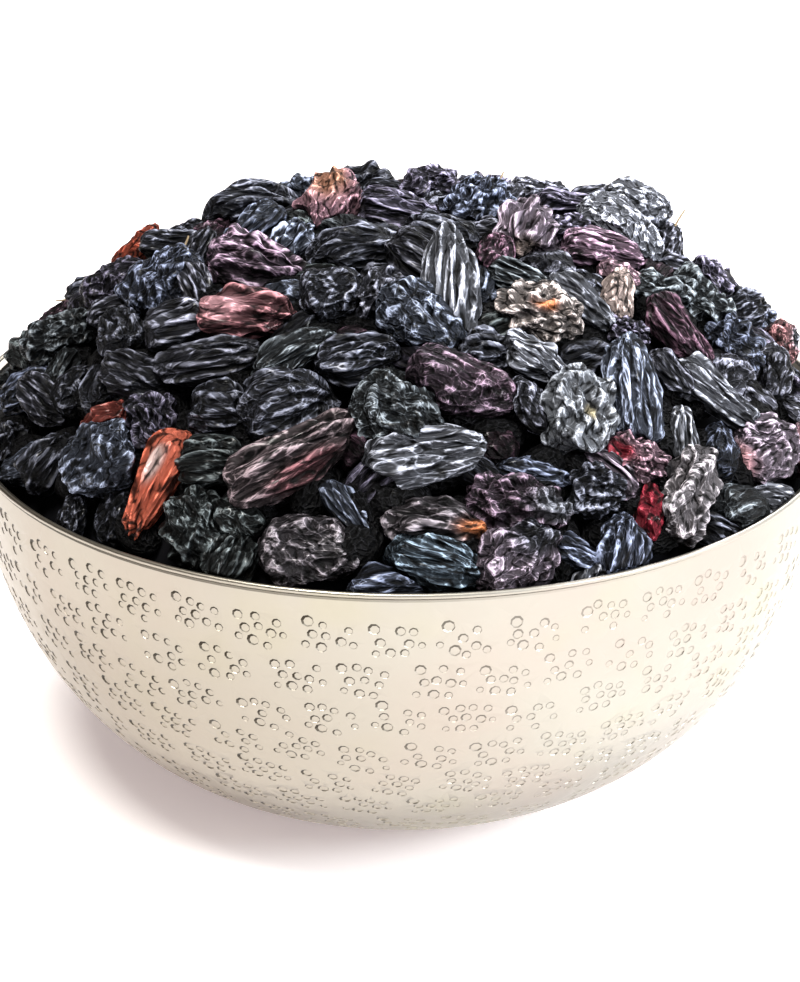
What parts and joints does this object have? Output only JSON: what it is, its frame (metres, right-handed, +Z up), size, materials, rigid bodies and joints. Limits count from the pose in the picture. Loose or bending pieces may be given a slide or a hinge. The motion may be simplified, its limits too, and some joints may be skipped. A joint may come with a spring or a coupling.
{
  "type": "bowl of black raisins",
  "caption": "Small round metal bowl with a punched outside, heaped over the rim with wrinkled black raisins and a few red, pink, tan and plum ones.",
  "frame": {"origin": "middle of the flat foot, on the surface that the bowl stands on", "axes": "+Z up, -Y towards the front that the picture shows, +X to the right of it"},
  "size_m": [0.15, 0.15, 0.105],
  "materials": {
    "bowl_metal": "satin",
    "raisin_black": "satin",
    "raisin_red": "satin",
    "raisin_pink": "satin",
    "raisin_tan": "satin",
    "raisin_plum": "satin"
  },
  "bodies": {
    "root": {"bowl": "bowl_metal", "raisin_heap": "raisin_black", "raisin_red_1": "raisin_red", "raisin_red_2": "raisin_red", "raisin_red_3": "raisin_red", "raisin_red_4": "raisin_red", "raisin_red_5": "raisin_red", "raisin_pink_1": "raisin_pink", "raisin_pink_2": "raisin_pink", "raisin_pink_3": "raisin_pink", "raisin_pink_4": "raisin_pink", "raisin_pink_5": "raisin_pink", "raisin_tan_1": "raisin_tan", "raisin_tan_2": "raisin_tan", "raisin_tan_3": "raisin_tan", "raisin_plum_1": "raisin_plum", "raisin_plum_2": "raisin_plum", "raisin_plum_3": "raisin_plum"}
  },
  "joints": []
}
